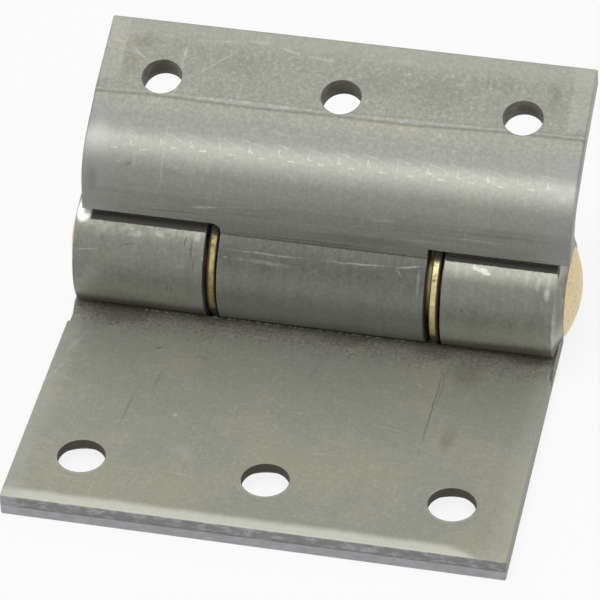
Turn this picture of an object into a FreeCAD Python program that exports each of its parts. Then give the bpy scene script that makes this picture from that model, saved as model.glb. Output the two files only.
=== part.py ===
import FreeCAD, Part
import math
import os
import Sketcher

# Three-knuckle butterfly hinge of bent steel plate on a fixed brass pin.
# The front leaf is flat and carries the two outer knuckles. The rear leaf is cranked over
# them and carries the middle knuckle. A brass washer lies in the gap at each side of it.
# Millimetres, +Z up, +X along the pin, +Y from the front leaf's free edge to the pin.
# The origin is the centre of the front leaf's middle hole, on the leaf's upper face.

DRIVING_SIZES = [
    ("plate_thickness", 5.0, "plate of both leaves"),
    ("pin_radius", 9.0, "shank of the pin"),
    ("bore_clearance", 0.05, "radial play of the knuckles on the pin"),
    ("front_width", 100.0, "front leaf along the pin"),
    ("front_reach", 71.7, "front leaf's free edge to the pin's axis"),
    ("shear_reach", 2.6, "the shear rolled the upper front edge over from here"),
    ("shear_drop", 0.25, "by this much at the edge"),
    ("front_hole_inset", 14.0, "front holes from the free edge"),
    ("front_hole_radius", 4.75, "front holes, straight part"),
    ("front_hole_land", 2.0, "depth of that straight part, the rest is countersunk from below"),
    ("hole_pitch", 37.0, "between neighbouring holes in both leaves"),
    ("front_roll_gap", 0.3, "end of an outer roll above the plate"),
    ("left_gap", 3.0, "left outer knuckle to the middle knuckle"),
    ("right_gap", 3.6, "right outer knuckle to the middle knuckle"),
    ("slot_clearance", 0.2, "edge of the slot to the middle knuckle"),
    ("swell", 0.9, "right knuckle's end face stands out this much at the bore"),
    ("swell_lip", 0.9, "flat lip of that swelling round the bore"),
    ("draw_in", 0.6, "outer knuckles' end faces fall back this much outside"),
    ("draw_depth", 2.2, "radial depth of that fall"),
    ("rear_width", 100.0, "rear leaf along the pin"),
    ("rear_shift", 1.8, "rear leaf lies this much to the right"),
    ("knuckle_length", 42.4, "middle knuckle"),
    ("web_angle", 66.0, "steep web against the flange"),
    ("web_offset", 9.5, "web's outer face from the pin's axis"),
    ("web_rise", 18.3, "along the web, from beside the axis to the bend"),
    ("bend_radius", 11.6, "outside of the bend"),
    ("ramp_angle", 9.3, "ramp between the bend and the crease, against the flange"),
    ("ramp_length", 10.5, "that ramp"),
    ("flange_length", 17.2, "crease to the rear leaf's free edge"),
    ("rear_hole_inset", 13.6, "rear holes from the free edge"),
    ("rear_hole_radius", 4.1, "rear holes"),
    ("seam_gap", 0.4, "end of the middle roll to the web"),
    ("notch_rise", 1.85, "lower edge of the web above the outer knuckles"),
    ("swing_clearance", 0.4, "web's relief round the outer knuckles"),
    ("notch_corner", 1.8, "rounding in the left notch's corner"),
    ("rise_angle", 20.0, "degrees that the rear leaf is folded up at rest"),
    ("washer_thickness", 1.65, "brass washers"),
    ("washer_radius", 13.4, "their rim"),
    ("washer_play", 0.12, "their bore round the pin"),
    ("washer_stand", 0.8, "washers off the outer knuckles"),
    ("washer_edge", 0.25, "bevel of their rim"),
    ("head_radius", 9.2, "upset rim of the pin's ends"),
    ("head_dome", 2.4, "height of the domed ends"),
    ("head_gap", 0.05, "pin's rims off the end faces"),
    ("edge_round", 0.35, "worn arrises of the plate"),
]

document = FreeCAD.newDocument("butterfly_hinge")
sheet = document.addObject("Spreadsheet::Sheet", "sizes")
size = {}
for row, (alias, value, meaning) in enumerate(DRIVING_SIZES, start=1):
    sheet.set("A%d" % row, meaning)
    sheet.set("B%d" % row, str(value))
    sheet.setAlias("B%d" % row, alias)
    size[alias] = value
document.recompute()

BORE = "(sizes.pin_radius + sizes.bore_clearance)"
OUTER = "(sizes.pin_radius + sizes.bore_clearance + sizes.plate_thickness)"
SLOT_LEFT = "(sizes.knuckle_length / 2 - sizes.rear_shift + sizes.left_gap)"
SLOT_RIGHT = "(sizes.knuckle_length / 2 + sizes.rear_shift + sizes.right_gap)"
SLOT_EDGE = "(sqrt(%s ^ 2 - %s ^ 2) + sizes.slot_clearance)" % (OUTER, BORE)
NOTCH_LEVEL = "sqrt((%s + sizes.notch_rise) ^ 2 - sizes.web_offset ^ 2)" % OUTER
ROLL_TURN = "270 + asin((%s - sizes.front_roll_gap) / %s) / 1 deg" % (BORE, OUTER)

bore = size["pin_radius"] + size["bore_clearance"]
outer = bore + size["plate_thickness"]
ORIGIN = (-1, 1)
ACROSS = -1
UPRIGHT = -2
MARGIN = 6.0


def new_body(name):
    """One body with its own origin on the pin's axis."""
    body = document.addObject("PartDesign::Body", name)
    body.Label = name
    return body


def new_sketch(body, role, name):
    """A sketch on one of the body's origin planes, found by its role."""
    sketch = body.newObject("Sketcher::SketchObject", name)
    plane = [item for item in body.Origin.OriginFeatures if item.Role == role][0]
    sketch.AttachmentSupport = [(plane, "")]
    sketch.MapMode = "FlatFace"
    return sketch


def bind(sketch, kind, where, value, formula):
    """A sketch dimension that starts at a value and follows a formula on the sheet."""
    index = sketch.addConstraint(Sketcher.Constraint(kind, *where, value))
    sketch.renameConstraint(index, "size%d" % index)
    sketch.setExpression("Constraints.size%d" % index, formula)


def join(sketch, *pairs):
    """Makes pairs of points the same point."""
    for first, second in pairs:
        sketch.addConstraint(Sketcher.Constraint("Coincident", *first, *second))


def line(sketch, start, end):
    """A straight sketch edge, returns its number."""
    return sketch.addGeometry(Part.LineSegment(FreeCAD.Vector(*start), FreeCAD.Vector(*end)))


def arc(sketch, centre, radius, start, end):
    """A round sketch edge, turning left from one angle in radians to the other."""
    circle = Part.Circle(FreeCAD.Vector(*centre), FreeCAD.Vector(0, 0, 1), radius)
    return sketch.addGeometry(Part.ArcOfCircle(circle, start, end))


def closed_outline(sketch, corners):
    """Straight edges from corner to corner and back to the first."""
    count = len(corners)
    sides = [line(sketch, corners[k], corners[(k + 1) % count]) for k in range(count)]
    join(sketch, *[((sides[k], 2), (sides[(k + 1) % count], 1)) for k in range(count)])
    return sides


def straight_edges(shape, test):
    """Names of the straight edges whose middle point passes the test."""
    names = []
    for number, edge in enumerate(shape.Edges, start=1):
        if isinstance(edge.Curve, Part.Line) and test(edge):
            names.append("Edge%d" % number)
    return names


def round_edges(body, name, edges, alias):
    """A fillet on the named edges of the body's last feature."""
    base = body.Tip
    fillet = body.newObject("PartDesign::Fillet", name)
    fillet.Base = (base, edges)
    fillet.setExpression("Radius", "sizes." + alias)
    document.recompute()
    return fillet


def hole_row(sketch, level, level_formula, radius_alias):
    """Three equal circles across the leaf, one pitch apart, on a level beside the pin's axis."""
    for step in (-1, 0, 1):
        aside = step * size["hole_pitch"]
        circle = Part.Circle(FreeCAD.Vector(aside, level, 0), FreeCAD.Vector(0, 0, 1), size[radius_alias])
        centre = (sketch.addGeometry(circle), 3)
        bind(sketch, "Radius", (centre[0],), size[radius_alias], "sizes." + radius_alias)
        upward = (*ORIGIN, *centre) if level > 0 else (*centre, *ORIGIN)
        bind(sketch, "DistanceY", upward, abs(level), level_formula)
        if step == 0:
            sketch.addConstraint(Sketcher.Constraint("PointOnObject", *centre, UPRIGHT))
        else:
            rightward = (*ORIGIN, *centre) if step > 0 else (*centre, *ORIGIN)
            bind(sketch, "DistanceX", rightward, abs(aside), "sizes.hole_pitch")


def front_leaf():
    """Flat leaf: plate that passes under the pin, up behind it and back over it to the front."""
    body = new_body("front_leaf")
    reach = size["front_reach"]
    drop = bore - size["front_roll_gap"]
    end = math.pi + math.asin(drop / outer)
    bottom = -math.pi / 2

    profile = new_sketch(body, "YZ_Plane", "front_profile")
    under = line(profile, (-reach, -outer, 0), (0, -outer, 0))
    outside = arc(profile, (0, 0, 0), outer, bottom, end)
    roll_end = line(profile, (outer * math.cos(end), outer * math.sin(end), 0),
                    (bore * math.cos(end), bore * math.sin(end), 0))
    inside = arc(profile, (0, 0, 0), bore, bottom, end)
    top = line(profile, (0, -bore, 0), (-reach, -bore, 0))
    front = line(profile, (-reach, -bore, 0), (-reach, -outer, 0))
    join(profile, ((under, 2), (outside, 1)), ((outside, 2), (roll_end, 1)),
         ((roll_end, 2), (inside, 2)), ((inside, 1), (top, 1)), ((top, 2), (front, 1)),
         ((front, 2), (under, 1)), ((outside, 3), ORIGIN), ((inside, 3), ORIGIN))
    for edge in (under, top):
        profile.addConstraint(Sketcher.Constraint("Horizontal", edge))
    profile.addConstraint(Sketcher.Constraint("Vertical", front))
    for edge in (outside, inside):
        profile.addConstraint(Sketcher.Constraint("PointOnObject", edge, 1, UPRIGHT))
    profile.addConstraint(Sketcher.Constraint("PointOnObject", *ORIGIN, roll_end))
    bind(profile, "Radius", (outside,), outer, OUTER)
    bind(profile, "Radius", (inside,), bore, BORE)
    bind(profile, "DistanceX", (under, 1, *ORIGIN), reach, "sizes.front_reach")
    bind(profile, "DistanceY", (outside, 2, *ORIGIN), drop, BORE + " - sizes.front_roll_gap")

    pad = body.newObject("PartDesign::Pad", "front_plate")
    pad.Profile = profile
    pad.SideType = "Symmetric"
    pad.setExpression("Length", "sizes.front_width")
    document.recompute()

    slot = new_sketch(body, "YZ_Plane", "slot_section")
    slot.setExpression("AttachmentOffset.Base.z", "-" + SLOT_LEFT)
    near = -(math.sqrt(outer ** 2 - bore ** 2) + size["slot_clearance"])
    far = outer + MARGIN
    corners = [(-far, -bore, 0), (near, -bore, 0), (near, -far, 0), (far, -far, 0), (far, far, 0),
               (-far, far, 0)]
    sides = closed_outline(slot, corners)
    for k, kind in enumerate(("Horizontal", "Vertical", "Horizontal", "Vertical", "Horizontal", "Vertical")):
        slot.addConstraint(Sketcher.Constraint(kind, sides[k]))
    bind(slot, "DistanceX", (sides[0], 2, *ORIGIN), -near, SLOT_EDGE)
    bind(slot, "DistanceY", (sides[0], 2, *ORIGIN), bore, BORE)
    for kind, where in (("DistanceX", (sides[0], 1, *ORIGIN)), ("DistanceY", (sides[2], 1, *ORIGIN)),
                        ("DistanceX", (*ORIGIN, sides[3], 1)), ("DistanceY", (*ORIGIN, sides[4], 1))):
        bind(slot, kind, where, far, OUTER + " + %g" % MARGIN)
    cut = body.newObject("PartDesign::Pocket", "knuckle_slot")
    cut.Profile = slot
    cut.Reversed = True
    cut.setExpression("Length", SLOT_LEFT + " + " + SLOT_RIGHT)
    document.recompute()

    swell_outer_knuckles(body, end - bottom)
    countersunk_holes(body)

    half = size["front_width"] / 2

    def upper_front(edge):
        middle = edge.CenterOfMass
        return abs(middle.y + reach) < 0.01 and abs(middle.z + bore) < 0.01

    plate = body.Tip
    rolled = body.newObject("PartDesign::Chamfer", "sheared_edge")
    rolled.Base = (plate, straight_edges(plate.Shape, upper_front))
    rolled.ChamferType = "Two distances"
    rolled.setExpression("Size", "sizes.shear_drop")
    rolled.setExpression("Size2", "sizes.shear_reach")
    document.recompute()

    def worn(edge):
        middle = edge.CenterOfMass
        along_front = abs(middle.y + reach) < 0.01
        beside = abs(abs(middle.x) - half) < 0.01 and middle.y < -outer
        return along_front or beside

    round_edges(body, "front_worn_edges", straight_edges(body.Tip.Shape, worn), "edge_round")
    body.setExpression("Placement.Base.y", "sizes.front_reach - sizes.front_hole_inset")
    body.setExpression("Placement.Base.z", BORE)
    return body


def swell_outer_knuckles(body, turn):
    """A tight roll swells at its bore and draws in outside: a ring added, a ring taken off."""
    half = size["front_width"] / 2
    lip = bore + size["swell_lip"]
    reach_out = outer - size["draw_depth"]

    ring = new_sketch(body, "XZ_Plane", "swell_section")
    corners = [(half, -bore, 0), (half + size["swell"], -bore, 0), (half + size["swell"], -lip, 0),
               (half, -reach_out, 0)]
    sides = closed_outline(ring, corners)
    ring.addConstraint(Sketcher.Constraint("Horizontal", sides[0]))
    ring.addConstraint(Sketcher.Constraint("Vertical", sides[1]))
    ring.addConstraint(Sketcher.Constraint("Vertical", sides[3]))
    bind(ring, "DistanceX", (*ORIGIN, sides[0], 1), half, "sizes.front_width / 2")
    bind(ring, "DistanceY", (sides[0], 1, *ORIGIN), bore, BORE)
    bind(ring, "DistanceX", (sides[0], 1, sides[0], 2), size["swell"], "sizes.swell")
    bind(ring, "DistanceY", (sides[1], 2, sides[1], 1), size["swell_lip"], "sizes.swell_lip")
    bind(ring, "DistanceY", (sides[2], 2, *ORIGIN), reach_out, OUTER + " - sizes.draw_depth")
    add = body.newObject("PartDesign::Revolution", "bore_swelling")
    add.Profile = ring
    add.ReferenceAxis = (ring, ["H_Axis"])
    add.Angle = math.degrees(turn)
    add.setExpression("Angle", ROLL_TURN)
    document.recompute()

    for side, sign in (("left", -1), ("right", 1)):
        rim = new_sketch(body, "XZ_Plane", side + "_draw_section")
        face = sign * half
        inner = sign * (half - size["draw_in"])
        corners = [(face, -reach_out, 0), (face, -outer - MARGIN, 0), (inner, -outer - MARGIN, 0),
                   (inner, -outer, 0)]
        sides = closed_outline(rim, corners)
        rim.addConstraint(Sketcher.Constraint("Vertical", sides[0]))
        rim.addConstraint(Sketcher.Constraint("Horizontal", sides[1]))
        rim.addConstraint(Sketcher.Constraint("Vertical", sides[2]))
        if sign > 0:
            bind(rim, "DistanceX", (*ORIGIN, sides[0], 1), half, "sizes.front_width / 2")
            bind(rim, "DistanceX", (sides[2], 1, sides[0], 1), size["draw_in"], "sizes.draw_in")
        else:
            bind(rim, "DistanceX", (sides[0], 1, *ORIGIN), half, "sizes.front_width / 2")
            bind(rim, "DistanceX", (sides[0], 1, sides[2], 1), size["draw_in"], "sizes.draw_in")
        bind(rim, "DistanceY", (sides[0], 1, *ORIGIN), reach_out, OUTER + " - sizes.draw_depth")
        bind(rim, "DistanceY", (sides[3], 1, *ORIGIN), outer, OUTER)
        bind(rim, "DistanceY", (sides[1], 1, *ORIGIN), outer + MARGIN, OUTER + " + %g" % MARGIN)
        groove = body.newObject("PartDesign::Groove", side + "_draw_in")
        groove.Profile = rim
        groove.ReferenceAxis = (rim, ["H_Axis"])
        groove.Angle = math.degrees(turn)
        groove.setExpression("Angle", ROLL_TURN)
        document.recompute()


def countersunk_holes(body):
    """Three holes near the free edge, straight at the top and countersunk from below."""
    row = new_sketch(body, "XY_Plane", "front_hole_centres")
    row.setExpression("AttachmentOffset.Base.z", "-" + OUTER)
    level = size["front_hole_inset"] - size["front_reach"]
    hole_row(row, level, "sizes.front_reach - sizes.front_hole_inset", "front_hole_radius")
    document.recompute()
    holes = body.newObject("PartDesign::Hole", "front_holes")
    holes.Profile = row
    document.recompute()
    holes.ThreadType = "None"
    holes.DepthType = "ThroughAll"
    holes.Reversed = True
    holes.HoleCutType = "Countersink"
    holes.HoleCutCustomValues = True
    holes.setExpression("Diameter", "2 * sizes.front_hole_radius")
    holes.setExpression("HoleCutDiameter",
                        "2 * (sizes.front_hole_radius + sizes.plate_thickness - sizes.front_hole_land)")
    holes.HoleCutCountersinkAngle = 90.0
    document.recompute()


def leaf_point(along, out):
    """Point of the rear leaf's section, measured along the web and outwards from the axis."""
    angle = math.radians(size["web_angle"])
    return (along * math.cos(angle) - out * math.sin(angle),
            along * math.sin(angle) + out * math.cos(angle), 0)


def polar(point):
    """Angle in radians of a section point as seen from the pin's axis."""
    return math.atan2(point[1], point[0])


def rear_leaf():
    """Cranked leaf: flange, crease, ramp, bend and steep web, then the middle knuckle's roll."""
    body = new_body("rear_leaf")
    thickness = size["plate_thickness"]
    offset = size["web_offset"]
    web_angle = math.radians(size["web_angle"])
    ramp_angle = math.radians(size["ramp_angle"])
    up_web = web_angle + math.pi / 2
    up_ramp = ramp_angle + math.pi / 2

    foot = leaf_point(math.sqrt(outer ** 2 - offset ** 2), offset)
    bend_start = leaf_point(size["web_rise"], offset)
    bend = leaf_point(size["web_rise"], offset - size["bend_radius"])
    bend_end = (bend[0] + size["bend_radius"] * math.cos(up_ramp),
                bend[1] + size["bend_radius"] * math.sin(up_ramp), 0)
    crease = (bend_end[0] + size["ramp_length"] * math.cos(ramp_angle),
              bend_end[1] + size["ramp_length"] * math.sin(ramp_angle), 0)
    free = (crease[0] + size["flange_length"], crease[1], 0)
    free_under = (free[0], free[1] - thickness, 0)
    inner_bend = size["bend_radius"] - thickness
    ramp_under = (bend[0] + inner_bend * math.cos(up_ramp), bend[1] + inner_bend * math.sin(up_ramp), 0)
    half_turn = math.tan(ramp_angle / 2)
    crease_under = (crease[0] + thickness * half_turn, crease[1] - thickness, 0)
    web_under = (bend[0] + inner_bend * math.cos(up_web), bend[1] + inner_bend * math.sin(up_web), 0)
    inside_web = offset - thickness
    web_foot = leaf_point(math.sqrt(bore ** 2 - inside_web ** 2), inside_web)
    seam = inside_web - size["seam_gap"]
    seam_bore = leaf_point(math.sqrt(bore ** 2 - seam ** 2), seam)
    seam_outer = leaf_point(math.sqrt(outer ** 2 - seam ** 2), seam)

    profile = new_sketch(body, "YZ_Plane", "rear_profile")
    web = line(profile, foot, bend_start)
    bend_outside = arc(profile, bend, size["bend_radius"], up_ramp, up_web)
    ramp = line(profile, bend_end, crease)
    flange = line(profile, crease, free)
    edge = line(profile, free, free_under)
    flange_under = line(profile, free_under, crease_under)
    ramp_inside = line(profile, crease_under, ramp_under)
    bend_inside = arc(profile, bend, inner_bend, up_ramp, up_web)
    web_inside = line(profile, web_under, web_foot)
    full = 2 * math.pi
    eye = arc(profile, (0, 0, 0), bore, polar(web_foot), polar(seam_bore) + full)
    roll_end = line(profile, seam_bore, seam_outer)
    barrel = arc(profile, (0, 0, 0), outer, polar(foot), polar(seam_outer) + full)
    join(profile, ((ramp, 2), (flange, 1)), ((flange, 2), (edge, 1)), ((edge, 2), (flange_under, 1)),
         ((flange_under, 2), (ramp_inside, 1)), ((web_inside, 2), (eye, 1)), ((eye, 2), (roll_end, 1)),
         ((roll_end, 2), (barrel, 2)), ((barrel, 1), (web, 1)), ((eye, 3), ORIGIN),
         ((barrel, 3), ORIGIN), ((bend_outside, 3), (bend_inside, 3)))
    for first, second in (((web, 2), (bend_outside, 2)), ((bend_outside, 1), (ramp, 1)),
                          ((ramp_inside, 2), (bend_inside, 1)), ((bend_inside, 2), (web_inside, 1))):
        profile.addConstraint(Sketcher.Constraint("Tangent", *first, *second))
    for level in (flange, flange_under):
        profile.addConstraint(Sketcher.Constraint("Horizontal", level))
    profile.addConstraint(Sketcher.Constraint("Vertical", edge))
    profile.addConstraint(Sketcher.Constraint("Parallel", roll_end, web))
    bind(profile, "Radius", (eye,), bore, BORE)
    bind(profile, "Radius", (barrel,), outer, OUTER)
    bind(profile, "Radius", (bend_outside,), size["bend_radius"], "sizes.bend_radius")
    bind(profile, "Radius", (bend_inside,), inner_bend, "sizes.bend_radius - sizes.plate_thickness")
    bind(profile, "Angle", (web,), web_angle, "sizes.web_angle")
    bind(profile, "Angle", (ramp,), ramp_angle, "sizes.ramp_angle")
    bind(profile, "Distance", (*ORIGIN, web), offset, "sizes.web_offset")
    bind(profile, "Distance", (*ORIGIN, web, 2), math.hypot(size["web_rise"], offset),
         "sqrt(sizes.web_rise ^ 2 + sizes.web_offset ^ 2)")
    bind(profile, "Distance", (ramp,), size["ramp_length"], "sizes.ramp_length")
    bind(profile, "DistanceX", (flange, 1, flange, 2), size["flange_length"], "sizes.flange_length")
    bind(profile, "DistanceY", (edge, 2, edge, 1), thickness, "sizes.plate_thickness")
    bind(profile, "Distance", (*ORIGIN, roll_end), seam,
         "sizes.web_offset - sizes.plate_thickness - sizes.seam_gap")

    pad = body.newObject("PartDesign::Pad", "rear_plate")
    pad.Profile = profile
    pad.SideType = "Symmetric"
    pad.setExpression("Length", "sizes.rear_width")
    document.recompute()

    notch_sides(body)

    row = new_sketch(body, "XY_Plane", "rear_hole_centres")
    free_edge = ("(sizes.web_rise * cos(sizes.web_angle * 1 deg)"
                 " - (sizes.web_offset - sizes.bend_radius) * sin(sizes.web_angle * 1 deg)"
                 " - sizes.bend_radius * sin(sizes.ramp_angle * 1 deg)"
                 " + sizes.ramp_length * cos(sizes.ramp_angle * 1 deg) + sizes.flange_length)")
    hole_row(row, free[0] - size["rear_hole_inset"], free_edge + " - sizes.rear_hole_inset",
             "rear_hole_radius")
    holes = body.newObject("PartDesign::Pocket", "rear_holes")
    holes.Profile = row
    holes.Type = "ThroughAll"
    holes.Reversed = True
    document.recompute()

    half = size["rear_width"] / 2

    def worn(candidate):
        middle = candidate.CenterOfMass
        along_back = abs(middle.y - free[0]) < 0.01
        beside = abs(abs(middle.x) - half) < 0.01 and middle.y > bend_end[0]
        return along_back or beside

    round_edges(body, "rear_worn_edges", straight_edges(body.Tip.Shape, worn), "edge_round")
    body.Placement = FreeCAD.Placement(FreeCAD.Vector(0, 0, 0), FreeCAD.Rotation(FreeCAD.Vector(1, 0, 0), 1))
    body.setExpression("Placement.Base.x", "sizes.rear_shift")
    body.setExpression("Placement.Base.y", "sizes.front_reach - sizes.front_hole_inset")
    body.setExpression("Placement.Base.z", BORE)
    body.setExpression("Placement.Rotation.Angle", "sizes.rise_angle")
    return body


def notch_sides(body):
    """Takes the roll and the web's foot away beside the middle knuckle, clear of the outer ones."""
    relief = outer + size["swing_clearance"]
    level = math.sqrt((outer + size["notch_rise"]) ** 2 - size["web_offset"] ** 2)
    beyond = size["web_offset"] + MARGIN
    inner_end = leaf_point(level, math.sqrt(relief ** 2 - level ** 2))
    outer_top = leaf_point(level, beyond)
    low = leaf_point(-relief, beyond)
    low_inside = leaf_point(-relief, 0)

    notch = new_sketch(body, "YZ_Plane", "notch_section")
    notch.setExpression("AttachmentOffset.Base.z", "sizes.knuckle_length / 2")
    across = line(notch, inner_end, outer_top)
    down = line(notch, outer_top, low)
    back = line(notch, low, low_inside)
    swing = arc(notch, (0, 0, 0), relief, polar(low_inside), polar(inner_end))
    join(notch, ((across, 2), (down, 1)), ((down, 2), (back, 1)), ((swing, 3), ORIGIN),
         ((swing, 2), (across, 1)))
    notch.addConstraint(Sketcher.Constraint("Tangent", back, 2, swing, 1))
    notch.addConstraint(Sketcher.Constraint("Perpendicular", across, down))
    notch.addConstraint(Sketcher.Constraint("Parallel", across, back))
    bind(notch, "Radius", (swing,), relief, OUTER + " + sizes.swing_clearance")
    bind(notch, "Angle", (down,), math.radians(size["web_angle"]) - math.pi, "sizes.web_angle - 180")
    bind(notch, "Distance", (*ORIGIN, across), level, NOTCH_LEVEL)
    bind(notch, "Distance", (*ORIGIN, down), beyond, "sizes.web_offset + %g" % MARGIN)
    cut = body.newObject("PartDesign::Pocket", "right_notch")
    cut.Profile = notch
    cut.Reversed = True
    cut.setExpression("Length", "(sizes.rear_width - sizes.knuckle_length) / 2 + %g" % MARGIN)
    document.recompute()
    middle = [item for item in body.Origin.OriginFeatures if item.Role == "YZ_Plane"][0]
    mirror = body.newObject("PartDesign::Mirrored", "left_notch")
    mirror.Originals = [cut]
    mirror.MirrorPlane = (middle, [""])
    body.Tip = mirror
    document.recompute()

    corner = leaf_point(level, size["web_offset"] - size["plate_thickness"] / 2)

    def left_corner(edge):
        middle = edge.CenterOfMass
        beside = abs(middle.x + size["knuckle_length"] / 2) < 0.01
        return beside and math.hypot(middle.y - corner[0], middle.z - corner[1]) < size["plate_thickness"] / 2

    round_edges(body, "left_notch_corner", straight_edges(body.Tip.Shape, left_corner), "notch_corner")


def hinge_pin():
    """Brass pin, its domed ends upset a little wider than the bore."""
    body = new_body("hinge_pin")
    half = size["front_width"] / 2
    left = half + size["head_gap"]
    right = half + size["swell"] + size["head_gap"]
    rim = size["head_radius"]
    dome = size["head_dome"]
    shank = size["pin_radius"]
    ball = (rim ** 2 + dome ** 2) / (2 * dome)
    lean = math.asin(rim / ball)

    section = new_sketch(body, "XY_Plane", "pin_section")
    axis = line(section, (-left - dome, 0, 0), (right + dome, 0, 0))
    right_dome = arc(section, (right + dome - ball, 0, 0), ball, 0, lean)
    right_step = line(section, (right, rim, 0), (right, shank, 0))
    side = line(section, (right, shank, 0), (-left, shank, 0))
    left_step = line(section, (-left, shank, 0), (-left, rim, 0))
    left_dome = arc(section, (-left - dome + ball, 0, 0), ball, math.pi - lean, math.pi)
    join(section, ((axis, 2), (right_dome, 1)), ((right_dome, 2), (right_step, 1)),
         ((right_step, 2), (side, 1)), ((side, 2), (left_step, 1)), ((left_step, 2), (left_dome, 1)),
         ((left_dome, 2), (axis, 1)))
    for end in ((axis, 1), (right_dome, 3), (left_dome, 3)):
        section.addConstraint(Sketcher.Constraint("PointOnObject", *end, ACROSS))
    section.addConstraint(Sketcher.Constraint("Horizontal", axis))
    section.addConstraint(Sketcher.Constraint("Horizontal", side))
    section.addConstraint(Sketcher.Constraint("Vertical", right_step))
    section.addConstraint(Sketcher.Constraint("Vertical", left_step))
    bind(section, "DistanceX", (*ORIGIN, side, 1), right,
         "sizes.front_width / 2 + sizes.swell + sizes.head_gap")
    bind(section, "DistanceX", (side, 2, *ORIGIN), left, "sizes.front_width / 2 + sizes.head_gap")
    bind(section, "DistanceY", (*ORIGIN, side, 1), shank, "sizes.pin_radius")
    bind(section, "DistanceY", (*ORIGIN, right_step, 1), rim, "sizes.head_radius")
    bind(section, "DistanceY", (*ORIGIN, left_step, 2), rim, "sizes.head_radius")
    bind(section, "DistanceX", (side, 1, axis, 2), dome, "sizes.head_dome")
    bind(section, "DistanceX", (axis, 1, side, 2), dome, "sizes.head_dome")
    turned = body.newObject("PartDesign::Revolution", "turned_pin")
    turned.Profile = section
    turned.ReferenceAxis = (section, ["H_Axis"])
    turned.Angle = 360.0
    document.recompute()
    body.setExpression("Placement.Base.y", "sizes.front_reach - sizes.front_hole_inset")
    body.setExpression("Placement.Base.z", BORE)
    return body


def washer(name, place):
    """One flat brass ring on the pin, its rim slightly bevelled."""
    body = new_body(name)
    ring = new_sketch(body, "YZ_Plane", name + "_outline")
    hole = size["pin_radius"] + size["washer_play"]
    for radius, formula in ((size["washer_radius"], "sizes.washer_radius"),
                            (hole, "sizes.pin_radius + sizes.washer_play")):
        number = ring.addGeometry(Part.Circle(FreeCAD.Vector(0, 0, 0), FreeCAD.Vector(0, 0, 1), radius))
        join(ring, ((number, 3), ORIGIN))
        bind(ring, "Radius", (number,), radius, formula)
    pad = body.newObject("PartDesign::Pad", name + "_plate")
    pad.Profile = ring
    pad.setExpression("Length", "sizes.washer_thickness")
    document.recompute()
    rims = ["Edge%d" % number for number, edge in enumerate(pad.Shape.Edges, start=1)
            if isinstance(edge.Curve, Part.Circle) and abs(edge.Curve.Radius - size["washer_radius"]) < 0.01]
    bevel = body.newObject("PartDesign::Chamfer", name + "_rim")
    bevel.Base = (pad, rims)
    bevel.setExpression("Size", "sizes.washer_edge")
    document.recompute()
    body.setExpression("Placement.Base.x", place)
    body.setExpression("Placement.Base.y", "sizes.front_reach - sizes.front_hole_inset")
    body.setExpression("Placement.Base.z", BORE)
    return body


pieces = [
    front_leaf(),
    rear_leaf(),
    hinge_pin(),
    washer("left_washer", "-" + SLOT_LEFT + " + sizes.washer_stand"),
    washer("right_washer", SLOT_RIGHT + " - sizes.washer_stand - sizes.washer_thickness"),
]
document.recompute()

for item in document.Objects:
    if "Invalid" in item.State or "Error" in item.State:
        raise RuntimeError("not built: " + item.Name)

os.makedirs("parts", exist_ok=True)
for piece in pieces:
    shape = piece.Shape
    if shape.isNull() or not shape.isValid() or len(shape.Solids) != 1:
        raise RuntimeError("not one sound solid: " + piece.Label)
    box = shape.BoundBox
    print("%-13s %9.1f mm3  x %6.1f %6.1f  y %6.1f %6.1f  z %6.1f %6.1f" % (
        piece.Label, shape.Volume, box.XMin, box.XMax, box.YMin, box.YMax, box.ZMin, box.ZMax))
    shape.exportStep("parts/" + piece.Label + ".step")
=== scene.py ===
# %% [markdown]
# A butterfly hinge of bent steel plate, dressed for a picture.
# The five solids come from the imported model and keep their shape. This script gives each one its
# finish, puts the hinge on a pale floor under soft light, and looks at it from the photograph's side.

import math

import bpy
from mathutils import Matrix, Vector


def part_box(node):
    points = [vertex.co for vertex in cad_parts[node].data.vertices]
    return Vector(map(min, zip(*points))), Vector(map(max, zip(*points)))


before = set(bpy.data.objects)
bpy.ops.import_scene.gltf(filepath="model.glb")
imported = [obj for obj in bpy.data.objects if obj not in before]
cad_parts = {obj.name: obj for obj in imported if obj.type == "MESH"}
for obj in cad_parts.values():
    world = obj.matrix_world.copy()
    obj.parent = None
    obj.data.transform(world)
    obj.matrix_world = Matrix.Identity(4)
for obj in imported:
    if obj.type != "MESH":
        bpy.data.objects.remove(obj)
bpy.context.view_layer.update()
print("nodes:", sorted(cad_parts))

# %% [markdown]
# Places on the hinge are easier to think of in millimetres, so the finishes use millimetres too.
# These are the landmarks that marks of work and wear keep to. The pin's axis, the crease and the
# centre of the bend are lines along X, so two numbers (Y, Z) say where each one is.

# %% Landmarks in millimetres
MM = 0.001
PIN_AXIS = (57.7, 9.05)
BARREL_RADIUS = 14.05
FRONT_EDGE = -14.0
SLOT_LINE = 46.75
CREASE = (64.55, 42.41)
BEND_CENTRE = (61.07, 27.16)
BEND_RADIUS = 11.6
FLANGE_TILT = math.radians(20.0)
REAR_SHIFT = 1.8
HALF_WIDTH = 50.0
HOLE_PITCH = 37.0
FRONT_HOLE_RADIUS = 4.75
REAR_HOLE_RADIUS = 4.1
REAR_HOLE_REACH = 3.6
PLATE_THICKNESS = 5.0
for node in sorted(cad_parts):
    low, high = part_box(node)
    print(node, [round(value / MM, 1) for value in (*low, *high)])

# %% [markdown]
# A finish is a formula: how dark, how rough and how bumpy the metal is at each point. Blender
# writes such formulas as boxes joined by wires. Written as arithmetic they are far easier to read,
# so a small class stands for a wire, and + - * / and ** on it put in the Math boxes.


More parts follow.
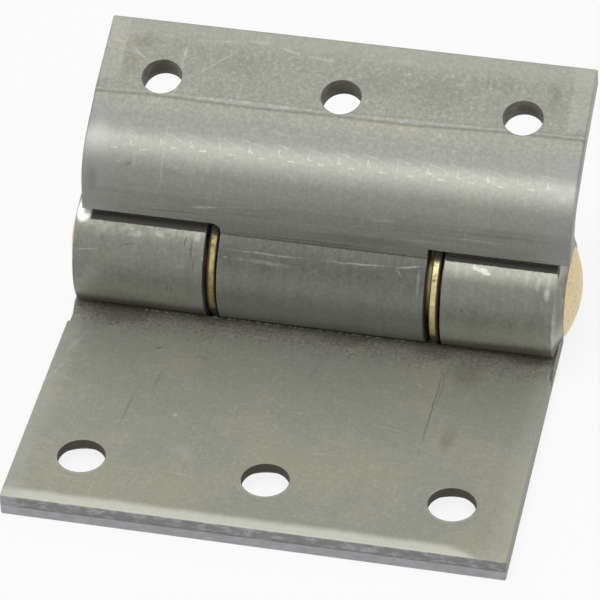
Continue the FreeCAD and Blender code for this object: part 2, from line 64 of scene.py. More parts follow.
# %% Arithmetic on sockets
class Wire:
    """A number, colour or vector that flows out of a node."""

    def __init__(self, finish, socket):
        self.finish = finish
        self.socket = socket

    def maths(self, operation, first, second=0.0):
        """One Math node: first operation second."""
        return self.finish.node("ShaderNodeMath", {"operation": operation}, {0: first, 1: second})

    def __add__(self, other):
        return self.maths("ADD", self, other)

    def __radd__(self, other):
        return self.maths("ADD", other, self)

    def __sub__(self, other):
        return self.maths("SUBTRACT", self, other)

    def __rsub__(self, other):
        return self.maths("SUBTRACT", other, self)

    def __mul__(self, other):
        return self.maths("MULTIPLY", self, other)

    def __rmul__(self, other):
        return self.maths("MULTIPLY", other, self)

    def __truediv__(self, other):
        return self.maths("DIVIDE", self, other)

    def __pow__(self, other):
        return self.maths("POWER", self, other)

    def size(self):
        """The number without its sign."""
        return self.maths("ABSOLUTE", self)

    def most(self, other):
        """The larger of two numbers."""
        return self.maths("MAXIMUM", self, other)

    def least(self, other):
        """The smaller of two numbers."""
        return self.maths("MINIMUM", self, other)

    def remainder(self, pitch):
        """How far the number is past the last multiple of the pitch."""
        return self.maths("FRACT", self / pitch) * pitch


print("wire: + - * / **, size, most, least, remainder")

# %% [markdown]
# A finish knows the point in millimetres. It can ask for a noise, a soft step, a soft oval mark or
# a field of hairline scratches, and it can mix two colours by a mask. Every node comes from one
# method, so the tree reads as a list of what it holds.

# %% The finish class
RELIEF = 0.03


class Finish:
    """One procedural material, or the room's light, while it is being mixed."""

    def __init__(self, tree):
        self.tree = tree
        self.tree.nodes.clear()

    def node(self, kind, settings, inputs, output=0):
        """Any node: its settings first, then the values or wires of its sockets."""
        node = self.tree.nodes.new(kind)
        for key, value in settings.items():
            setattr(node, key, value)
        for key, value in inputs.items():
            socket = node.inputs[key]
            if isinstance(value, Wire):
                self.tree.links.new(value.socket, socket)
            elif socket.type == "RGBA":
                socket.default_value = (*value, 1.0)
            else:
                socket.default_value = value
        return Wire(self, node.outputs[output]) if node.outputs else None

    def find_place(self):
        """The point on the object in millimetres, whole and as three numbers."""
        place = self.node("ShaderNodeTexCoord", {}, {}, "Object")
        self.point = self.stretch(place, (1 / MM, 1 / MM, 1 / MM))
        self.x = self.node("ShaderNodeSeparateXYZ", {}, {0: self.point}, "X")
        self.y = self.node("ShaderNodeSeparateXYZ", {}, {0: self.point}, "Y")
        self.z = self.node("ShaderNodeSeparateXYZ", {}, {0: self.point}, "Z")

    def stretch(self, vector, factors):
        """A vector with each part multiplied by its own factor."""
        return self.node("ShaderNodeVectorMath", {"operation": "MULTIPLY"}, {0: vector, 1: factors})

    def pair(self, across, along):
        """A flat vector from two numbers."""
        return self.node("ShaderNodeCombineXYZ", {}, {0: across, 1: along})

    def noise(self, vector, per_mm, detail=2.0, roughness=0.5, output=0):
        """Cloudy noise from 0 to 1, with that many waves in a millimetre."""
        inputs = {"Vector": vector, "Scale": per_mm, "Detail": detail, "Roughness": roughness}
        return self.node("ShaderNodeTexNoise", {}, inputs, output)

    def waver(self, vector, per_mm, reach):
        """The vector pushed about by a noise, up to half the reach each way."""
        push = self.noise(vector, per_mm, 3.0, 0.6, "Color")
        half = (0.5, 0.5, 0.5)
        centred = self.node("ShaderNodeVectorMath", {"operation": "SUBTRACT"}, {0: push, 1: half})
        inputs = {0: centred, 1: (reach, reach, 0.0), 2: vector}
        return self.node("ShaderNodeVectorMath", {"operation": "MULTIPLY_ADD"}, inputs)

    def step(self, value, start, end, low=0.0, high=1.0):
        """A soft step: low up to start, high from end on, smooth between them."""
        settings = {"interpolation_type": "SMOOTHSTEP"}
        inputs = {"Value": value, "From Min": start, "From Max": end, "To Min": low, "To Max": high}
        return self.node("ShaderNodeMapRange", settings, inputs)

    def near(self, value, place, reach):
        """1 where the value is at its place, falling to 0 a reach away."""
        return self.step((value - place).size(), 0.0, reach, 1.0, 0.0)

    def within(self, value, place, reach, blur):
        """1 up to a reach from the place, falling to 0 over the blur."""
        return self.step((value - place).size(), reach, reach + blur, 1.0, 0.0)

    def mix(self, mask, below, above):
        """A colour that goes from one to the other with the mask."""
        settings = {"data_type": "RGBA", "clamp_factor": True}
        return self.node("ShaderNodeMix", settings, {0: mask, 6: below, 7: above}, 2)

    def shade(self, colour, factor):
        """A colour made darker or lighter by a number."""
        grey = self.node("ShaderNodeCombineColor", {}, {0: factor, 1: factor, 2: factor})
        settings = {"data_type": "RGBA", "blend_type": "MULTIPLY"}
        return self.node("ShaderNodeMix", settings, {0: 1.0, 6: colour, 7: grey}, 2)

    def oval(self, surface, place, reach, turn, blur):
        """A soft oval, 1 inside and 0 outside, with its half length and half width as the reach."""
        inputs = {"Vector": surface, "Location": (*place, 0.0), "Rotation": (0.0, 0.0, turn),
                  "Scale": (*reach, 1.0)}
        local = self.node("ShaderNodeMapping", {"vector_type": "TEXTURE"}, inputs)
        distance = self.node("ShaderNodeVectorMath", {"operation": "LENGTH"}, {0: local}, "Value")
        return self.step(distance, 1.0 - blur, 1.0, 1.0, 0.0)

    def marks(self, surface, rows, blur=0.8):
        """The strongest of many ovals. A row is place, half length, half width, turn, strength."""
        total = None
        for place, half_length, half_width, turn, strength in rows:
            mark = self.oval(surface, place, (half_length, half_width), turn, blur) * strength
            total = mark if total is None else total.most(mark)
        return total

    def hairlines(self, surface, turn, length, width, share, seed):
        """Short thin scratches: cells stretched along one direction, and a mark round the centre
        of each. A cell's random number decides how long its mark is, and most cells get none."""
        inputs = {"Vector": surface, "Location": (seed, seed, 0.0), "Rotation": (0.0, 0.0, turn),
                  "Scale": (length, width, 1.0)}
        cells = self.node("ShaderNodeMapping", {"vector_type": "TEXTURE"}, inputs)
        settings = {"voronoi_dimensions": "2D", "feature": "F1"}
        inputs = {"Vector": cells, "Scale": 1.0}
        distance = self.node("ShaderNodeTexVoronoi", settings, inputs, "Distance")
        chance = self.node("ShaderNodeTexVoronoi", settings, inputs, "Color")
        luck = self.node("ShaderNodeSeparateColor", {}, {0: chance}, "Red")
        reach = self.step(luck, 1.0 - share, 1.0, 0.0, 0.42)
        return self.step(distance, reach * 0.3, reach, 1.0, 0.0)

    def arrises(self, radius, start, end):
        """Worn sharp edges: where the normal of a rounded copy leaves the true one."""
        rounded = self.node("ShaderNodeBevel", {"samples": 4}, {"Radius": radius * MM})
        true = self.node("ShaderNodeNewGeometry", {}, {}, "True Normal")
        settings = {"operation": "DOT_PRODUCT"}
        agree = self.node("ShaderNodeVectorMath", settings, {0: rounded, 1: true}, "Value")
        return rounded, self.step(1.0 - agree, start, end)

    def surface(self, colour, metal, roughness, height, normal):
        """Joins the layers to the surface shader. A height of 1 stands for RELIEF millimetres."""
        bump = self.node("ShaderNodeBump", {}, {
            "Strength": 1.0, "Distance": RELIEF * MM, "Height": height, "Normal": normal})
        shader = self.node("ShaderNodeBsdfPrincipled", {}, {
            "Base Color": colour, "Metallic": metal, "Roughness": roughness, "Normal": bump})
        self.node("ShaderNodeOutputMaterial", {}, {"Surface": shader})

    def seen_directly(self):
        """A mask that is 1 for camera, glossy and transmission rays."""
        camera = self.node("ShaderNodeLightPath", {}, {}, "Is Camera Ray")
        glossy = self.node("ShaderNodeLightPath", {}, {}, "Is Glossy Ray")
        through = self.node("ShaderNodeLightPath", {}, {}, "Is Transmission Ray")
        return camera.most(glossy).most(through)


def new_material(name):
    """An empty material and the finish that fills it."""
    material = bpy.data.materials.new(name)
    material.use_nodes = True
    finish = Finish(material.node_tree)
    finish.find_place()
    return material, finish


print("finish: noise, step, near, mix, shade, oval, marks, hairlines, arrises")

# %% [markdown]
# Mill plate is never one grey. It is olive where the oil film is thick and bluish where it is thin,
# with pale freckles, a fine grain, faint lines in the direction of rolling and hairline scratches.
# The same plate makes both leaves, so its finish is written once. Distance along the surface is
# taken as Y + Z, which grows steadily from the flat plate up over every bend of the hinge.

# %% The plate that both leaves are made of
OLIVE = (0.333, 0.332, 0.258)
BLUISH = (0.298, 0.301, 0.257)
FRECKLE = (0.440, 0.438, 0.345)
RUBBED_AND_SHEEN = (0.435, 0.435, 0.380)
PALE_AND_GLINT = (0.560, 0.560, 0.510)
WORN_AND_GLINT = (0.760, 0.760, 0.710)
GRIME_AND_SHADE = (0.062, 0.052, 0.036)
METAL_SHARE = 0.34
HAIRLINES = ((0.45, 9.0, 0.30, 3.1), (-0.75, 7.0, 0.26, 11.7), (1.35, 14.0, 0.28, 23.9))


def mill_plate(f, scratch_share):
    """Colour, roughness, height and the noises of bare plate, for a finish to build on."""
    along = f.y + f.z
    run = f.pair(f.x, along)
    cloud = f.noise(f.point, 0.045, 5.0, 0.6)
    mottle = f.noise(f.point, 0.42, 6.0, 0.72)
    grain = f.noise(f.point, 1.2, 5.0, 0.80)
    lines = f.noise(f.pair(f.x, along * 0.012), 1.3, 3.0, 0.6)
    bluer = f.step(along, 0.0, 40.0) * 0.14
    colour = f.mix(f.step(cloud + bluer, 0.42, 0.62), OLIVE, BLUISH)
    colour = f.mix(f.step(mottle, 0.50, 0.72) * 0.22, colour, FRECKLE)
    flecks = f.step(grain, 0.53, 0.68) * 0.14
    colour = f.shade(colour, 0.63 + grain * 0.48 + lines * 0.08 + mottle * 0.16 + flecks)
    bent = f.waver(run, 0.12, 2.4)
    scratches = None
    for turn, length, width, seed in HAIRLINES:
        field = f.hairlines(bent, turn, length, width, scratch_share, seed)
        scratches = field if scratches is None else scratches.most(field)
    scratches = scratches * f.step(mottle, 0.36, 0.60, 0.15, 1.0)
    colour = f.mix(scratches * 0.30, colour, PALE_AND_GLINT)
    roughness = 0.42 + grain * 0.12 + mottle * 0.08
    height = grain * 0.40 + lines * 0.20 + scratches * 0.3 + mottle * 0.5
    return colour, roughness, height, {"mottle": mottle, "grain": grain}


print("plate colours:", OLIVE, BLUISH)

# %% [markdown]
# The front leaf lies flat. Its front edge was sheared: the blade rolled the top over a little, cut
# the upper half and tore the lower half, so the edge has two tones, and the lower one is also
# painted lighter and bluer as a reflection of the floor. The rolled-over top is a pale band of
# painted sheen.
# Oil and dirt have collected where the plate meets the knuckles. Single marks are placed from
# the photograph: each row is a place on the plate in millimetres, half length, half width,
# turn in radians and strength.

# %% Marks on the front leaf's plate
PLATE_DARK = (
    ((28.2, 27.0), 19.0, 0.28, 1.546, 0.55), ((29.0, 35.0), 11.0, 0.22, 1.546, 0.45),
    ((-31.5, 16.0), 10.0, 0.35, 1.50, 0.30), ((-27.5, 25.0), 5.0, 0.6, 1.45, 0.22),
    ((32.9, 18.5), 5.5, 2.2, 1.50, 0.30), ((33.4, 38.5), 6.5, 4.5, 1.57, 0.30),
    ((40.0, 40.0), 4.0, 0.4, 1.50, 0.35), ((3.0, 34.0), 5.5, 0.7, 1.35, 0.20),
    ((-20.0, 33.5), 2.5, 0.3, -0.25, 0.40), ((-29.5, 35.0), 1.2, 0.5, 0.4, 0.45))
PLATE_PALE = (
    ((-48.4, 24.0), 5.5, 0.45, 1.20, 0.60), ((-46.6, 33.0), 6.5, 0.8, 1.25, 0.35),
    ((-4.6, -3.5), 3.9, 0.13, -0.90, 0.60), ((24.6, 33.6), 1.3, 0.22, -0.50, 0.90),
    ((20.8, 19.6), 4.2, 0.16, -0.15, 0.55), ((-21.7, 15.4), 0.7, 0.7, 0.0, 0.55),
    ((-8.3, 21.4), 1.8, 0.22, 0.10, 0.45), ((2.0, 20.6), 2.3, 0.2, -0.05, 0.50),
    ((-16.0, -1.5), 4.5, 0.18, -0.08, 0.45), ((-25.0, -4.6), 2.6, 0.18, 1.10, 0.45),
    ((-29.0, -3.6), 2.2, 0.16, 0.75, 0.40), ((-38.0, -6.3), 4.5, 0.14, -0.10, 0.50),
    ((-18.0, 5.5), 4.5, 2.6, -0.30, 0.22), ((10.0, 9.5), 5.0, 0.16, 0.05, 0.35),
    ((14.0, -4.0), 3.0, 0.15, 0.60, 0.40), ((33.0, 3.0), 2.6, 0.15, 0.9, 0.35))
CORNER_DIRT = (
    ((-21.0, 46.0), 5.0, 3.6, 0.0, 0.40), ((25.6, 45.0), 4.6, 5.0, 0.0, 0.45),
    ((-39.0, 44.0), 9.0, 5.5, 0.0, 0.50), ((8.0, 44.5), 7.0, 3.0, 0.0, 0.25),
    ((45.0, 45.5), 6.0, 2.6, 0.0, 0.35))
print("marks placed on the plate:", len(PLATE_DARK) + len(PLATE_PALE) + len(CORNER_DIRT))


# %% Front leaf, the plate
def worked_plate(f, colour, height, noises):
    """The flat of the front leaf: single marks, the pale band of painted sheen, and grime and
    painted shade towards the knuckles.
    """
    x, y = f.x, f.y
    plate = f.pair(x, y)
    bent = f.waver(plate, 0.35, 1.0)
    broken = f.step(noises["mottle"], 0.34, 0.60, 0.35, 1.0)
    colour = f.mix(f.marks(bent, PLATE_DARK) * broken, colour, GRIME_AND_SHADE)
    colour = f.mix(f.marks(bent, PLATE_PALE) * broken, colour, PALE_AND_GLINT)

    # Painted sheen: the pale band along the front edge, on the rolled-over strip.
    wander = f.noise(f.pair(x, 0.0), 0.09, 3.0, 0.6)
    band_end = FRONT_EDGE + 2.1 + wander * 1.5 - f.step(x, 36.0, 49.0, 0.0, 3.4)
    band = f.step(y - band_end + (noises["mottle"] - 0.5) * 1.2, -1.4, 0.6, 1.0, 0.0)
    colour = f.mix(band * 0.85, colour, f.shade(RUBBED_AND_SHEEN, 1.15 + noises["grain"] * 0.4))
    colour = f.mix(f.step(x.size() + noises["mottle"] * 6.0, 47.0, 53.0) * 0.45, colour, RUBBED_AND_SHEEN)

    # Painted shade: the plate grows darker towards the knuckles, where the rear leaf shades it.
    colour = f.shade(colour, f.step(y, 10.0, 47.0, 1.0, 0.80))
    patches = f.noise(f.point, 0.26, 4.0, 0.65)
    speckle = f.noise(f.point, 1.3, 4.0, 0.80)
    corners = f.marks(plate, CORNER_DIRT)
    close = f.step(y, 32.0, 45.0) + corners + (patches - 0.5) * 0.9 + (speckle - 0.5) * 3.2
    grime = f.step(close, 0.50, 1.55)
    line = f.step(y, 45.7, 46.5) * 0.35
    colour = f.mix(grime * 0.80, colour, GRIME_AND_SHADE)
    colour = f.mix(line, colour, GRIME_AND_SHADE)

    bits = f.step(f.noise(f.pair(x, 0.0), 1.0, 4.0, 0.7), 0.48, 0.56)
    flecks = bits * f.near(y, SLOT_LINE - 0.25, 0.30) * f.within(x, 0.0, 21.0, 1.0)
    flecks = flecks.most(bits * f.near(y, 46.2, 0.28) * f.within(x, -30.0, 5.0, 2.0))
    colour = f.mix(flecks * 0.85, colour, WORN_AND_GLINT)
    return colour, height - grime * 0.5 + band * 0.4, grime.most(line)


print("plate: band, dirt, flecks and marks")

# %% [markdown]
# The outer knuckles were rolled from the same plate. Rolling darkened their skin. Under the rear
# leaf's lower edge a nearly black band is old oil and painted shadow of that leaf, up to the place
# where that leaf ends, and past it sits a painted highlight on worn metal. Their tops and lower
# parts are painted lighter, as light and reflection, and the specks along the crest and two
# blotches on the right knuckle are painted glints. The end faces and their arrises are polished by
# handling.

# %% Marks on the outer knuckles
KNUCKLE_DARK = (
    ((-26.3, 18.4), 1.3, 0.30, 1.45, 0.60), ((-24.9, 17.0), 2.6, 0.35, 1.60, 0.50),
    ((-24.3, 14.6), 1.8, 0.25, 1.50, 0.50), ((-29.6, 8.6), 1.3, 0.22, 1.57, 0.55),
    ((-28.8, 8.4), 1.1, 0.20, 1.57, 0.45), ((-38.0, 16.9), 2.4, 0.25, 0.20, 0.35),
    ((31.0, 12.0), 0.5, 0.4, 0.0, 0.45))
KNUCKLE_PALE = (
    ((-46.5, 15.2), 2.6, 0.22, 0.05, 0.70), ((-45.6, 10.2), 2.9, 3.4, 0.0, 0.30),
    ((-36.5, 18.6), 2.6, 0.6, 0.15, 0.45), ((-31.5, 18.9), 2.0, 0.5, -0.1, 0.45),
    ((-44.0, 18.6), 1.6, 1.1, 0.4, 0.35), ((-24.0, 19.3), 0.9, 1.0, 0.0, 0.60),
    ((-27.5, 19.4), 0.8, 0.6, 0.0, 0.45), ((-33.0, 4.6), 5.5, 0.5, 0.0, 0.30),
    ((29.2, 18.9), 1.3, 0.5, 1.57, 0.50), ((31.2, 19.0), 1.2, 0.35, 1.57, 0.55),
    ((47.8, 17.6), 2.6, 0.8, 1.57, 0.80), ((45.8, 18.4), 1.8, 0.6, 1.57, 0.60),
    ((43.5, 18.9), 1.2, 0.4, 1.57, 0.50), ((39.5, 19.3), 0.7, 0.5, 0.0, 0.35),
    ((38.6, 15.3), 2.2, 0.12, 0.1, 0.40), ((33.0, 4.6), 7.0, 0.8, 0.0, 0.30),
    ((49.45, 9.5), 6.5, 0.42, 1.57, 0.85))
OIL_AND_SHADOW = (0.030, 0.026, 0.020)
PAINTED_GLINT = (0.95, 0.95, 0.90)
SKIN_TONE = 0.73
OIL_AND_SHADOW_START = (48.80, 49.02)
# The two blotches on the right knuckle's top are painted highlights.
GLINT_BLOTCHES = (((34.9, 19.3), 1.4, 0.60, -0.15, 1.00), ((33.2, 19.7), 1.0, 0.32, -0.10, 0.90))
print("marks placed on the knuckles:", len(KNUCKLE_DARK) + len(KNUCKLE_PALE) + len(GLINT_BLOTCHES))


# %% Front leaf, its knuckles
def rolled_skin(f, colour, noises, tone):
    """Rolled metal: darker and bluer than the flat plate, with faint rings across it."""
    streaks = f.noise(f.stretch(f.point, (1.4, 0.10, 0.10)), 0.8, 4.0, 0.65)
    cool = f.mix(0.55, colour, BLUISH)
    speckled = (noises["grain"] - 0.5) * 0.55
    return f.shade(cool, tone - 0.24 + streaks * 0.26 + noises["mottle"] * 0.22 + speckled)


def outer_knuckles(f, colour, noises):
    """The rolled part of the front leaf: dark skin with painted light and glints, a band of old oil
    and painted shadow under the rear leaf, marks.
    """
    x, y, z = f.x, f.y, f.z
    face = f.pair(x, z)
    bent = f.waver(face, 0.45, 0.7)
    front_side = f.step(y, 52.0, 54.0, 1.0, 0.0)
    # Painted light: the knuckles' tops, the right one most, are lighter as lamplight falls, and their
    # lower parts lighter as a painted reflection of the plate.
    painted_top_light = f.step(z, 17.0, 19.4) * f.step(x, -5.0, 5.0, 0.15, 0.62)
    painted_low_light = f.step(z, 11.0, 5.5) * f.step(x, -5.0, 5.0, 0.40, 0.58)
    skin = rolled_skin(f, colour, noises, painted_top_light + painted_low_light + SKIN_TONE)
    flaked = f.step(noises["mottle"], 0.40, 0.58, 0.4, 1.0)
    skin = f.mix(f.marks(bent, KNUCKLE_DARK) * front_side, skin, GRIME_AND_SHADE)
    skin = f.mix(f.marks(bent, KNUCKLE_PALE) * flaked * front_side, skin, PALE_AND_GLINT)
    torn = f.waver(face, 1.1, 1.3)
    # Painted highlights: the two bright blotches.
    skin = f.mix(f.marks(torn, GLINT_BLOTCHES, 0.4) * front_side, skin, WORN_AND_GLINT)
    # Painted glints: pale specks along the knuckles' crest.
    crest_glints = f.step(y, 46.8, 48.9) * f.step(noises["mottle"], 0.46, 0.58) * front_side
    skin = f.mix(crest_glints * 0.30, skin, PALE_AND_GLINT)

    # Old oil and painted shadow: a dark band where the rear leaf's lower edge overhangs the knuckles.
    ragged = f.noise(f.pair(x, 0.0), 0.8, 4.0, 0.65)
    under_leaf = f.step(x, -46.6, -46.2) * f.step(x, 49.5, 49.8, 1.0, 0.0)
    lip = y + (ragged - 0.5) * 0.35 - f.step(x, -20.0, 25.0, *OIL_AND_SHADOW_START)
    thinning = f.step(y + (ragged - 0.5) * 1.0, 50.0, 51.9, 1.0, 0.0)
    band = f.step(lip, 0.0, 0.16) * thinning * under_leaf
    skin = f.mix(band * 0.97, skin, OIL_AND_SHADOW)
    # Painted highlight: past the rear leaf's end the knuckle is worn bright metal with a glint.
    bare = f.oval(face, (-48.0, 20.9), (1.95, 1.75), 0.35, 0.5) * front_side
    skin = f.mix(bare, skin, PAINTED_GLINT)
    foot_level = z + ragged * 1.8 - f.step(x, 28.0, 46.0) * 0.9
    foot = f.step(foot_level, 2.8, 5.4, 1.0, 0.0) * f.step(y, 57.0, 60.0, 1.0, 0.0)
    skin = f.mix(foot * 0.78, skin, GRIME_AND_SHADE)
    return skin, band.most(foot)


print("outer knuckles: rolled skin, oily band, marks")

# %% Front leaf, put together
CUT_UPPER = ((0.225, 0.225, 0.218), (0.390, 0.390, 0.400))
LOWER_CUT_AND_REFLECTION = ((0.350, 0.350, 0.365), (0.450, 0.450, 0.475))
CUT_CORNER = (0.420, 0.420, 0.440)
TEAR = (0.130, 0.130, 0.125)
TEAR_DEPTH = 2.9
HOLE_SHADE = (0.098, 0.086, 0.067)
HOLE_CRUMBS = (0.340, 0.210, 0.110)
SINK_RADIUS = 7.6
SINK_START = -1.95


def front_leaf_finish():
    """Plate, knuckles, sheared edge and holes, each where it belongs on the front leaf."""
    material, f = new_material("front_leaf_steel")
    x, y, z = f.x, f.y, f.z
    plain, roughness, height, noises = mill_plate(f, 0.035)
    rounded, worn = f.arrises(0.35, 0.02, 0.25)
    colour, height, dirt_and_shade = worked_plate(f, plain, height, noises)
    # The second value is the mask of old oil, painted shadow and grime on the knuckles.
    skin, oil = outer_knuckles(f, plain, noises)
    barrel = f.step(z, 0.2, 0.5)
    colour = f.mix(barrel, colour, skin)
    dirt_and_shade = f.step(barrel, 0.0, 1.0, 1.0, 0.0) * dirt_and_shade + barrel * oil

    cut = f.step(y, FRONT_EDGE + 0.10, FRONT_EDGE + 0.25, 1.0, 0.0)
    side = f.step(x.size(), HALF_WIDTH - 0.2, HALF_WIDTH - 0.05) * f.step(z, -0.3, -0.1, 1.0, 0.0)
    cut = cut.most(side)
    wander = f.noise(f.pair(x, y), 0.07, 3.0, 0.6)
    smear = f.noise(f.stretch(f.point, (0.45, 0.45, 1.0)), 0.85, 5.0, 0.72)
    upper = f.mix(f.step(smear, 0.44, 0.66), *CUT_UPPER)
    # The torn lower half is painted lighter and bluer, partly as a reflection of the floor in front.
    lower = f.mix(f.step(smear, 0.35, 0.75), *LOWER_CUT_AND_REFLECTION)
    tear = z + TEAR_DEPTH - wander * 0.8
    sheared = f.mix(f.step(tear, -0.25, 0.15), lower, upper)
    sheared = f.mix(f.near(tear, 0.0, 0.35) * 0.60, sheared, TEAR)
    sheared = f.mix(f.within(x, -HALF_WIDTH, 2.6, 1.5) * 0.5, sheared, CUT_CORNER)
    sheared = f.mix(f.step(y, FRONT_EDGE + 0.5, FRONT_EDGE + 1.0), sheared, f.shade(OLIVE, 0.85))
    colour = f.mix(cut, colour, sheared)

    aside = (x.size() - HOLE_PITCH).size().least(x.size())
    from_hole = (aside ** 2.0 + y ** 2.0) ** 0.5
    wall = f.step(from_hole, FRONT_HOLE_RADIUS + 0.02, FRONT_HOLE_RADIUS + 0.10, 1.0, 0.0)
    sink = f.step(z, SINK_START, SINK_START + 0.15, 1.0, 0.0)
    sink = sink * f.step(from_hole, SINK_RADIUS, SINK_RADIUS + 0.2, 1.0, 0.0)
    in_hole = wall.most(sink * f.step(z, 0.05 - PLATE_THICKNESS, 0.2 - PLATE_THICKNESS))
    crumbs = f.step(f.noise(f.point, 1.5, 4.0, 0.75), 0.60, 0.70) * f.step(x, -30.0, -20.0, 1.0, 0.25)
    # Painted shade: the hole walls are dark.
    inside = f.mix(crumbs * 0.75, HOLE_SHADE, HOLE_CRUMBS)
    colour = f.mix(in_hole, colour, inside)
    rim = f.near(from_hole, FRONT_HOLE_RADIUS + 0.25, 0.30) * f.step(z, -0.1, 0.0)
    colour = f.mix(rim * f.step(y, 0.0, -3.0) * 0.35, colour, PALE_AND_GLINT)

    glints = f.step(f.noise(f.point, 1.0, 3.0, 0.7), 0.50, 0.62, 0.12, 1.0)
    polished = f.step(z, 1.0, 2.0) * f.step(x, 48.0, 48.6)
    bright = worn * glints.most(polished * 0.75) * (1.0 - in_hole)
    colour = f.mix(bright * 0.80, colour, WORN_AND_GLINT)
    # The mask holds grime, the painted shadow band on the knuckles and the painted shade in the
    # holes.
    dirt_and_shade = dirt_and_shade.most(in_hole)
    metal = METAL_SHARE - dirt_and_shade * 0.30
    roughness = roughness + dirt_and_shade * 0.22 - barrel * 0.05 + cut * 0.08
    height = height + smear * cut * 1.5
    f.surface(colour, metal, roughness, height, rounded)
    return material


front_steel = front_leaf_finish()
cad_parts["front_leaf"].material_slots[0].material = front_steel
print("front leaf:", len(front_steel.node_tree.nodes), "shader nodes")

# %% [markdown]
# The rear leaf was bent in a press. The tool left a pale wavy ridge along the crease, a row of
# small scuffs at an even beat on the bend, and drag lines on the steep web. Reach is the distance
# from the crease up the flange, so a mark's place on top is X and reach, and on the face X and Z.

# %% Marks on the rear leaf
FLANGE_PALE = (
    ((-40.9, 8.7), 3.4, 0.20, -0.675, 0.85), ((-31.6, 9.4), 5.8, 0.40, 1.52, 0.60),
    ((-24.7, 8.4), 6.8, 0.18, 0.73, 0.75), ((-45.0, 11.0), 1.6, 0.3, -0.05, 0.60),
    ((-44.5, 9.2), 2.4, 0.22, -0.05, 0.55), ((-36.0, 13.5), 3.0, 0.5, 0.0, 0.25),
    ((-16.6, 14.4), 3.4, 0.50, 0.02, 0.75), ((-10.4, 13.1), 3.4, 0.55, -0.32, 0.75),
    ((-3.5, 12.1), 4.2, 0.6, -0.08, 0.60), ((-24.0, 13.7), 4.2, 0.40, 0.12, 0.55),
    ((-12.2, 7.3), 1.6, 0.2, 0.7, 0.45), ((-15.0, 6.6), 1.3, 0.2, 1.0, 0.35),
    ((6.6, 11.0), 2.2, 0.16, -1.0, 0.50), ((16.5, 13.2), 1.2, 0.14, -0.9, 0.55),
    ((26.0, 11.2), 2.2, 0.8, 1.2, 0.35), ((31.0, 10.5), 2.6, 0.5, 1.4, 0.35),
    ((12.0, 13.5), 4.5, 0.9, 0.0, 0.30), ((20.0, 5.2), 2.2, 0.12, -0.2, 0.35),
    ((7.0, -4.2), 9.0, 0.16, -0.22, 0.50), ((11.5, -6.5), 3.0, 0.14, 0.8, 0.40),
    ((24.0, -4.0), 3.4, 0.13, -0.9, 0.40), ((-9.0, -6.0), 2.6, 0.5, -0.3, 0.35),
    ((-14.5, -5.6), 2.0, 0.35, 0.2, 0.35), ((41.5, 4.5), 1.2, 0.5, 1.2, 0.35))
FLANGE_DARK = (
    ((-40.5, 12.0), 3.4, 2.8, 0.0, 0.22), ((-42.0, 6.0), 2.4, 3.4, 0.0, 0.16),
    ((44.2, 9.0), 1.9, 5.2, 0.0, 0.22), ((-20.0, 8.5), 9.0, 4.0, 0.0, 0.10),
    ((8.0, 7.5), 9.0, 4.0, 0.0, 0.10), ((33.0, 10.5), 6.0, 2.5, 0.0, 0.12),
    ((20.5, 7.0), 9.0, 5.0, 0.0, 0.15))
RUST_SPOTS = (
    ((-35.3, -3.9), 0.30, 0.22, 0.3, 0.85), ((-25.1, -2.6), 0.34, 0.28, 0.0, 0.95),
    ((-30.9, -5.4), 0.24, 0.20, 0.0, 0.65), ((-48.0, -4.7), 0.26, 0.3, 0.0, 0.60),
    ((-44.6, -6.2), 0.22, 0.16, 0.0, 0.55), ((35.7, 6.2), 0.22, 0.16, 0.0, 0.35))
# The last two rows are painted highlights at the two ends of the bend.
FACE_PALE = (
    ((-22.6, 26.2), 4.4, 0.42, 0.14, 0.60), ((-14.0, 27.2), 6.0, 0.22, 0.06, 0.25),
    ((13.5, 28.0), 3.4, 0.5, 0.05, 0.35), ((33.0, 25.9), 9.0, 0.22, 0.0, 0.40),
    ((22.0, 24.2), 7.0, 0.2, 0.02, 0.25), ((-31.8, 34.0), 6.5, 0.28, 1.57, 0.30),
    ((-9.0, 18.05), 10.5, 0.20, 0.0, 0.34), ((9.0, 18.25), 8.5, 0.20, 0.03, 0.42),
    ((19.6, 18.65), 3.4, 0.22, 0.12, 0.50), ((17.8, 17.6), 1.6, 0.2, -0.9, 0.30),
    ((-10.0, 16.6), 8.5, 0.5, -0.02, 0.22), ((-17.8, 16.9), 0.7, 0.10, 0.0, 0.70),
    ((21.8, 16.0), 0.4, 3.5, 0.0, 0.25), ((2.0, 12.2), 3.0, 0.12, 0.05, 0.30),
    ((-45.6, 36.8), 3.6, 2.6, 0.0, 0.40), ((49.2, 35.8), 1.2, 0.9, 0.0, 0.60))
FACE_DARK = (
    ((1.0, 21.0), 20.0, 0.30, 0.0, 0.45), ((8.0, 20.2), 13.0, 0.22, 0.0, 0.40),
    ((-30.0, 24.2), 9.0, 0.25, 0.03, 0.40), ((10.0, 23.0), 14.0, 1.4, 0.0, 0.25),
    ((-38.5, 33.6), 1.2, 0.5, 0.5, 0.35), ((-46.0, 30.0), 1.6, 3.6, 0.0, 0.25))
print("marks placed on the rear leaf:", len(FLANGE_PALE) + len(FACE_PALE) + len(FACE_DARK))

# %% Rear leaf, the press marks
SCUFF_PITCH = 6.05
SCUFF_START = -3.8
DASH = ((4.20, 0.55, 0.35), (9.35, 0.05, 0.12))
TICK = ((1.40, 0.08, 0.16), (10.10, 0.25, 0.35))
TOE = ((1.75, 0.25, 0.25), (9.80, 0.04, 0.12))
DOT = ((5.50, 0.25, 0.30), (6.55, 0.08, 0.20))


def scuff_part(f, beat, level, part):
    """One spot of a scuff: place, reach and blur along the beat, then the same up the bend."""
    along, up = part
    return f.within(beat, *along) * f.within(level, *up)


